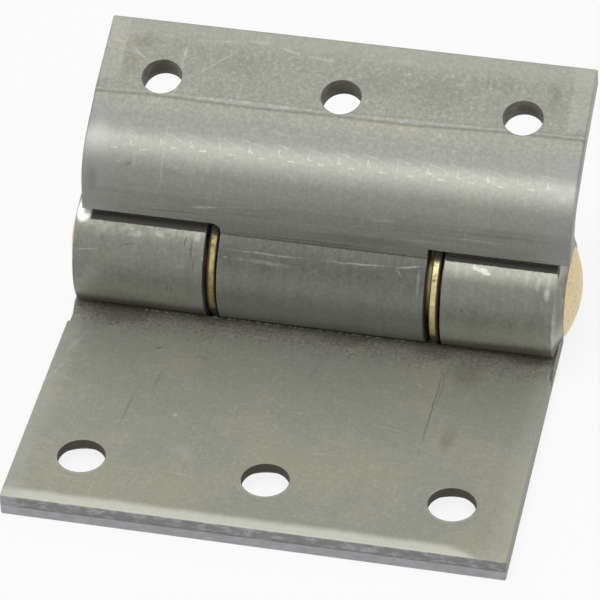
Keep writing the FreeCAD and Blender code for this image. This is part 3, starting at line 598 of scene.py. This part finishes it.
def press_scuffs(f, height, skin):
    """A dash and an L in every pitch along the bend, each a little uneven, with a faint arc above
    them, a faint score line down the bend and a faint dot below."""
    beat = (f.x - SCUFF_START).remainder(SCUFF_PITCH)
    uneven = f.noise(f.point, 0.7, 3.0, 0.7)
    sag = f.step(f.x, -37.0, -31.0, 0.75, 0.0)
    level = height + sag + (uneven - 0.5) * 0.5
    dash = scuff_part(f, beat, level, DASH)
    tick = scuff_part(f, beat, level, TICK)
    toe = scuff_part(f, beat, level, TOE)
    arc = f.within(level + beat ** 2.0 * 0.028, 11.0, 0.02, 0.10) * 0.40
    score = f.within(beat, 2.5, 0.05, 0.14) * f.step(height, 1.0, 4.0)
    score = score * f.step(height, 10.2, 10.8, 1.0, 0.0)
    dot = scuff_part(f, beat, height, DOT) * f.step(f.x, 4.0, -6.0)
    total = dash.most(tick).most(toe).most(arc).most(score * 0.16).most(dot * 0.40)
    ends = f.within(f.x, REAR_SHIFT, 44.0, 2.5)
    crumbled = f.step(f.noise(f.point, 1.8, 3.0, 0.8), 0.42, 0.56, 0.15, 1.0)
    patchy = f.step(f.noise(f.pair(f.x, 0.0), 0.16, 2.0), 0.36, 0.62, 0.45, 1.0)
    return total * crumbled * patchy * skin * ends


def crease_ridge(f, reach, upper, noises):
    """The pale ridge that the press tool left along the crease, and painted shade beside it."""
    wander = f.noise(f.pair(f.x, 0.0), 0.045, 3.0, 0.6)
    centre = f.step(f.x, 5.0, 42.0, -0.40, 0.45) - f.step(f.x, -38.0, -48.0) * 0.35
    at = reach - centre + (wander - 0.5) * 0.6
    width = 0.18 + f.near(f.x, -17.0, 17.0) * 0.28 + f.near(f.x, 18.0, 17.0) * 0.24
    rough_edge = width * (0.55 + noises["mottle"] * 0.9)
    ridge = f.step(at.size() / rough_edge, 0.45, 1.15, 1.0, 0.0) * upper
    below = f.near(at + width * 0.9, -0.45, 0.55) * upper
    above = f.near(at - width, 0.30, 0.35) * upper
    flecked = f.step(noises["grain"], 0.40, 0.62, 0.35, 1.0)
    return ridge * flecked, (below * 0.42).most(above * 0.12)


print("press scuffs every", SCUFF_PITCH, "mm")

# %% Rear leaf, put together
NEUTRAL = (0.290, 0.294, 0.285)
RIDGE = (0.530, 0.540, 0.530)
RUST = (0.620, 0.330, 0.100)
SIDE_SKIN = (0.345, 0.350, 0.340)
REAR_HOLE = ((0.205, 0.187, 0.150), (0.300, 0.290, 0.253))
REAR_HOLE_RING = (0.250, 0.250, 0.230)
MIDDLE_TONE = 0.84


def rear_leaf_finish():
    """Flange, crease, bend, web, middle knuckle and holes of the rear leaf."""
    material, f = new_material("rear_leaf_steel")
    x, y, z = f.x, f.y, f.z
    cosine, sine = math.cos(FLANGE_TILT), math.sin(FLANGE_TILT)
    colour, roughness, height, noises = mill_plate(f, 0.08)
    rounded, worn = f.arrises(0.35, 0.02, 0.25)
    reach = (y - CREASE[0]) * cosine + (z - CREASE[1]) * sine
    level = (z - CREASE[1]) * cosine - (y - CREASE[0]) * sine
    upper = f.step(level, -1.6, -1.0)
    from_bend = ((y - BEND_CENTRE[0]) ** 2.0 + (z - BEND_CENTRE[1]) ** 2.0) ** 0.5
    skin = f.step(from_bend, BEND_RADIUS - 0.8, BEND_RADIUS - 0.3) * f.step(y, 62.0, 60.0)
    face = skin.most(f.step(y, 50.8, 51.6, 1.0, 0.0))
    broken = f.step(noises["mottle"], 0.34, 0.58, 0.45, 1.0)

    strip = f.step((x - REAR_SHIFT).size() + (noises["mottle"] - 0.5) * 1.6, 45.5, 46.2)
    strip = strip * f.step(reach + (noises["mottle"] - 0.5) * 3.0, 0.8, 2.6)
    colour = f.mix(strip * 0.45, colour, RUBBED_AND_SHEEN)
    colour = f.shade(colour, 1.0 + (noises["grain"] - 0.5) * upper * 0.9)
    top = f.waver(f.pair(x, reach), 0.30, 0.6)
    blurred = f.waver(f.pair(x, reach), 0.5, 2.5)
    colour = f.mix(f.marks(blurred, FLANGE_DARK) * upper, colour, GRIME_AND_SHADE)
    colour = f.mix(f.marks(top, FLANGE_PALE) * broken * upper * 0.75, colour, PALE_AND_GLINT)
    back = f.step(reach + (noises["mottle"] - 0.5) * 6.0, 11.0, 15.0) * upper
    colour = f.mix(back * 0.35, colour, RUBBED_AND_SHEEN)
    ridge, beside = crease_ridge(f, reach, upper, noises)
    # Painted shade: the dark lines beside the crease ridge.
    colour = f.mix(beside, colour, GRIME_AND_SHADE)
    colour = f.mix(ridge * 0.60, colour, RIDGE)
    spots = f.marks(f.pair(x, reach), RUST_SPOTS, 0.9) * f.step(level, -6.0, -4.0)
    colour = f.mix(spots, colour, RUST)

    colour = f.shade(colour, 1.0 + (noises["grain"] - 0.5) * face * 0.3)
    drag = f.noise(f.stretch(f.point, (0.035, 1.0, 1.0)), 0.9, 5.0, 0.68)
    steep = f.step(z, 26.0, 34.0, 1.0, 0.0) * f.step(z, 19.5, 21.0) * face
    colour = f.mix(steep * f.step(drag, 0.50, 0.70) * 0.22, colour, PALE_AND_GLINT)
    colour = f.mix(steep * f.step(drag, 0.48, 0.30) * 0.35, colour, GRIME_AND_SHADE)
    ends = f.within(x, REAR_SHIFT, 41.0, 6.0)
    colour = f.mix((1.0 - ends) * face * 0.40, colour, SIDE_SKIN)
    rise = z - BEND_CENTRE[1]
    unsteady = (noises["mottle"] - 0.5) * 3.0
    # Painted highlight: a bright band along the bend. Painted shade: the web is darker, most towards
    # its foot under the bend.
    bend_highlight_zone = f.step(rise, 5.2, 9.0) * f.step(reach + unsteady, -7.8, -11.0) * skin
    shaded_foot = f.step(z, 36.0, 24.0) * 0.04 + f.step(z, 25.5, 21.5) * 0.28
    bend_highlight = bend_highlight_zone * f.step(x, 5.0, 45.0, 0.64, 0.78)
    colour = f.shade(colour, 1.0 + bend_highlight - face * 0.09 - face * ends * shaded_foot)
    # Painted shade: the ramp and flange are made a little darker.
    painted_top_shade = upper * f.step(reach + unsteady, -11.0, -6.0)
    colour = f.shade(colour, 1.0 - painted_top_shade * f.step(reach, -0.6, 0.0, 0.09, 0.06))

    from_pin = ((y - PIN_AXIS[0]) ** 2.0 + (z - PIN_AXIS[1]) ** 2.0) ** 0.5
    barrel = f.step(from_pin, BARREL_RADIUS + 0.15, BARREL_RADIUS + 0.5, 1.0, 0.0)
    colour = f.mix(face * 0.40, colour, f.shade(NEUTRAL, 0.62 + noises["grain"] * 0.50))
    # Painted light and shade: the middle knuckle is darker at the top, under the web, and lighter low
    # down, as a reflection of the plate.
    roll_light_and_shade = MIDDLE_TONE - f.step(z, 11.0, 17.0) * 0.36 + f.step(z, 9.0, 4.0) * 0.18
    colour = f.mix(barrel, colour, rolled_skin(f, colour, noises, roll_light_and_shade))
    bent = f.waver(f.pair(x, z), 0.22, 0.8)
    colour = f.mix(f.marks(bent, FACE_DARK) * face, colour, GRIME_AND_SHADE)
    colour = f.mix(f.marks(bent, FACE_PALE) * face * broken, colour, PALE_AND_GLINT)
    scuffs = press_scuffs(f, rise, skin)
    colour = f.mix(scuffs * 0.60, colour, WORN_AND_GLINT)

    aside = ((x - REAR_SHIFT).size() - HOLE_PITCH).size().least((x - REAR_SHIFT).size())
    from_hole = (aside ** 2.0 + (reach - REAR_HOLE_REACH) ** 2.0) ** 0.5
    in_hole = f.step(from_hole, REAR_HOLE_RADIUS + 0.02, REAR_HOLE_RADIUS + 0.10, 1.0, 0.0)
    ring = f.step(level, 0.9 - PLATE_THICKNESS, 1.3 - PLATE_THICKNESS, 1.0, 0.0)
    dull = f.mix(f.step(noises["mottle"], 0.4, 0.6), *REAR_HOLE)
    colour = f.mix(in_hole, colour, f.mix(ring, dull, REAR_HOLE_RING))

    glints = f.step(f.noise(f.point, 1.0, 3.0, 0.7), 0.42, 0.62, 0.10, 1.0)
    colour = f.mix(worn * glints * (1.0 - in_hole) * 0.65, colour, WORN_AND_GLINT)
    metal = METAL_SHARE - in_hole * 0.25
    roughness = roughness + in_hole * 0.2 - barrel * 0.05
    height = height + ridge * 1.5 + scuffs * 0.4 + steep * drag * 0.8
    f.surface(colour, metal, roughness, height, rounded)
    return material


rear_steel = rear_leaf_finish()
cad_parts["rear_leaf"].material_slots[0].material = rear_steel
print("rear leaf:", len(rear_steel.node_tree.nodes), "shader nodes")

# %% [markdown]
# Pin and washers are brass. The pin's ends were hammered over and have gone dull and pale. The left
# washer is a darker gold than the right one. Both have dark specks, a bright rim, and black flat
# sides, top and foot, painted as old oil and as the shade of the gaps.

# %% Brass
SOOT_AND_SHADE = (0.030, 0.027, 0.022)
SPECK = (0.200, 0.140, 0.070)
BRASS_WORN = (0.850, 0.740, 0.440)


def brass_finish(name, clean, dull, speck_share, gap=None):
    """Brass from clean to dull in soft clouds, with dark specks. A washer's gap is its middle and
    the level where its black top starts; its flat sides, top and foot are painted black, as old oil
    and as the shade of the gap."""
    material, f = new_material(name)
    cloud = f.noise(f.point, 0.35, 4.0, 0.6)
    grain = f.noise(f.point, 1.6, 4.0, 0.8)
    specks = f.noise(f.point, 1.1, 3.0, 0.75)
    rounded, worn = f.arrises(0.2, 0.02, 0.2)
    colour = f.mix(f.step(cloud, 0.36, 0.60), clean, dull)
    colour = f.shade(colour, 0.62 + grain * 0.76)
    speck_level = 0.70 - speck_share * 0.2
    dark = f.step(specks, speck_level, speck_level + 0.06) * f.step(cloud, 0.42, 0.56)
    colour = f.mix(dark * 0.65, colour, SPECK)
    colour = f.mix(worn * 0.35, colour, BRASS_WORN)
    dirt_and_shade = dark * 0.6
    if gap:
        middle, oil_and_shade_level = gap
        ragged = (grain - 0.5) * 0.6
        # Old oil and painted shade: the washer's flat sides, top and foot are made black.
        oil_and_shade = f.step((f.x - middle).size() + ragged * 0.3, 0.42, 0.66)
        oil_and_shade = oil_and_shade.most(f.step(f.z + ragged, oil_and_shade_level, oil_and_shade_level + 0.8))
        oil_and_shade = oil_and_shade.most(f.step(f.z + ragged, 4.0, 2.6))
        colour = f.mix(oil_and_shade * 0.9, colour, SOOT_AND_SHADE)
        dirt_and_shade = dirt_and_shade.most(oil_and_shade)
    f.surface(colour, 0.85 - dirt_and_shade * 0.8, 0.38 + cloud * 0.15 + dirt_and_shade * 0.3, grain - dark, rounded)
    return material


BRASSES = {
    "hinge_pin": brass_finish("pin_brass", (0.74, 0.57, 0.30), (0.71, 0.60, 0.40), 0.55),
    "left_washer": brass_finish(
        "left_washer_brass", (0.53, 0.42, 0.18), (0.42, 0.34, 0.16), 0.95, (-20.6, 18.9)),
    "right_washer": brass_finish(
        "right_washer_brass", (0.95, 0.80, 0.43), (0.66, 0.54, 0.29), 0.62, (24.95, 19.0))}
for node, brass in BRASSES.items():
    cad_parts[node].material_slots[0].material = brass
print("brass on", ", ".join(BRASSES))

# %% [markdown]
# The floor is a plain pale sheet under the hinge. The camera and the reflections see mostly through
# it to the white room, and the rest of it is lit, so that the hinge still casts a faint shadow. A
# leaf that swings down past the floor also stays in view. Under the knuckles the sheet is dense, so
# the slots beside the washers look into the dark.

# %% Floor
FLOOR_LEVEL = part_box("front_leaf")[0][2]
FLOOR_REACH = 3.0
FLOOR_CLEARNESS = 0.86
FLOOR_GREY = (0.82, 0.82, 0.82)
WHITE = (1.0, 1.0, 1.0)
DENSE_MIDDLE = (0.0, 56.0)
DENSE_REACH = (44.0, 13.0)
DENSE_BLUR = 4.0


def make_floor():
    """A square sheet at the level that the hinge stands on."""
    mesh = bpy.data.meshes.new("floor")
    corners = [(across * FLOOR_REACH, along * FLOOR_REACH, FLOOR_LEVEL)
               for across, along in ((-1, -1), (1, -1), (1, 1), (-1, 1))]
    mesh.from_pydata(corners, [], [(0, 1, 2, 3)])
    floor = bpy.data.objects.new("floor", mesh)
    bpy.context.scene.collection.objects.link(floor)
    material, f = new_material("pale_floor")
    matt = f.node("ShaderNodeBsdfDiffuse", {}, {"Color": FLOOR_GREY})
    clear = f.node("ShaderNodeBsdfTransparent", {}, {"Color": WHITE})
    under_hinge = f.within(f.x, DENSE_MIDDLE[0], DENSE_REACH[0], DENSE_BLUR)
    under_hinge = under_hinge * f.within(f.y, DENSE_MIDDLE[1], DENSE_REACH[1], DENSE_BLUR)
    share = f.seen_directly() * FLOOR_CLEARNESS * (1.0 - under_hinge)
    both = f.node("ShaderNodeMixShader", {}, {0: share, 1: matt, 2: clear})
    f.node("ShaderNodeOutputMaterial", {}, {"Surface": both})
    mesh.materials.append(material)
    return floor


make_floor()
print("floor at", round(FLOOR_LEVEL / MM, 2), "mm")

# %% [markdown]
# The light is an even pale room and one large soft lamp almost overhead, a little in front. The
# lamp draws the bright band along the bend, and keeps the place under the bend's lower edge dark.

# %% Room and lamp
ROOM_STRENGTH = 0.53
LAMP_DIRECTION = (-0.08, -0.18, 0.98)
LAMP_DISTANCE = 1.2
LAMP_WIDTH = 0.60
LAMP_WATTS = 6.1
LAMP_AIM = (0.0, 0.035, 0.02)


def make_room():
    """A world that lights softly and is white where it is seen directly or in a reflection."""
    world = bpy.data.worlds.new("room")
    world.use_nodes = True
    bpy.context.scene.world = world
    f = Finish(world.node_tree)
    light = f.node("ShaderNodeBackground", {}, {"Color": WHITE, "Strength": ROOM_STRENGTH})
    white = f.node("ShaderNodeBackground", {}, {"Color": WHITE, "Strength": 1.0})
    both = f.node("ShaderNodeMixShader", {}, {0: f.seen_directly(), 1: light, 2: white})
    f.node("ShaderNodeOutputWorld", {}, {"Surface": both})


def hang_lamp():
    """A square soft lamp that looks at the hinge from above."""
    data = bpy.data.lights.new("overhead_lamp", "AREA")
    data.shape = "SQUARE"
    data.size = LAMP_WIDTH
    data.energy = LAMP_WATTS
    lamp = bpy.data.objects.new("overhead_lamp", data)
    towards = Vector(LAMP_DIRECTION).normalized()
    turn = towards.to_track_quat("Z", "Y").to_matrix().to_4x4()
    lamp.matrix_world = Matrix.Translation(Vector(LAMP_AIM) + towards * LAMP_DISTANCE) @ turn
    bpy.context.scene.collection.objects.link(lamp)


make_room()
hang_lamp()
print("one lamp of", LAMP_WATTS, "W and an even room")

# %% [markdown]
# The camera stands to the right, about 40 degrees above the table, a good arm's length away, with
# a long lens, as the photograph's straight lines and its little perspective show.

# %% Camera
CAMERA_ELEVATION = math.radians(39.69)
CAMERA_YAW = math.radians(12.21)
CAMERA_ROLL = math.radians(-0.80)
CAMERA_PLACE = Vector((130.98, -570.95, 531.71)) * MM
FOCAL_PIXELS = 4047.0
FRAME_PIXELS = 600.0
SENSOR = 36.0
NEAREST = 0.01
FARTHEST = 20.0


def make_camera():
    """A camera from its elevation, its yaw about the vertical and its roll about the view."""
    ahead = Vector((-math.sin(CAMERA_YAW) * math.cos(CAMERA_ELEVATION),
                    math.cos(CAMERA_YAW) * math.cos(CAMERA_ELEVATION), -math.sin(CAMERA_ELEVATION)))
    level = Vector((math.cos(CAMERA_YAW), math.sin(CAMERA_YAW), 0.0))
    above = level.cross(ahead)
    right = math.cos(CAMERA_ROLL) * level + math.sin(CAMERA_ROLL) * above
    up = math.cos(CAMERA_ROLL) * above - math.sin(CAMERA_ROLL) * level
    data = bpy.data.cameras.new("camera")
    data.sensor_width = SENSOR
    data.lens = FOCAL_PIXELS / FRAME_PIXELS * SENSOR
    data.clip_start = NEAREST
    data.clip_end = FARTHEST
    camera = bpy.data.objects.new("camera", data)
    turn = Matrix((right, up, -ahead)).transposed().to_4x4()
    camera.matrix_world = Matrix.Translation(CAMERA_PLACE) @ turn
    bpy.context.scene.collection.objects.link(camera)
    bpy.context.scene.camera = camera
    return data


lens = make_camera()
bpy.context.scene.view_settings.view_transform = "Standard"
print("lens", round(lens.lens, 1), "mm")
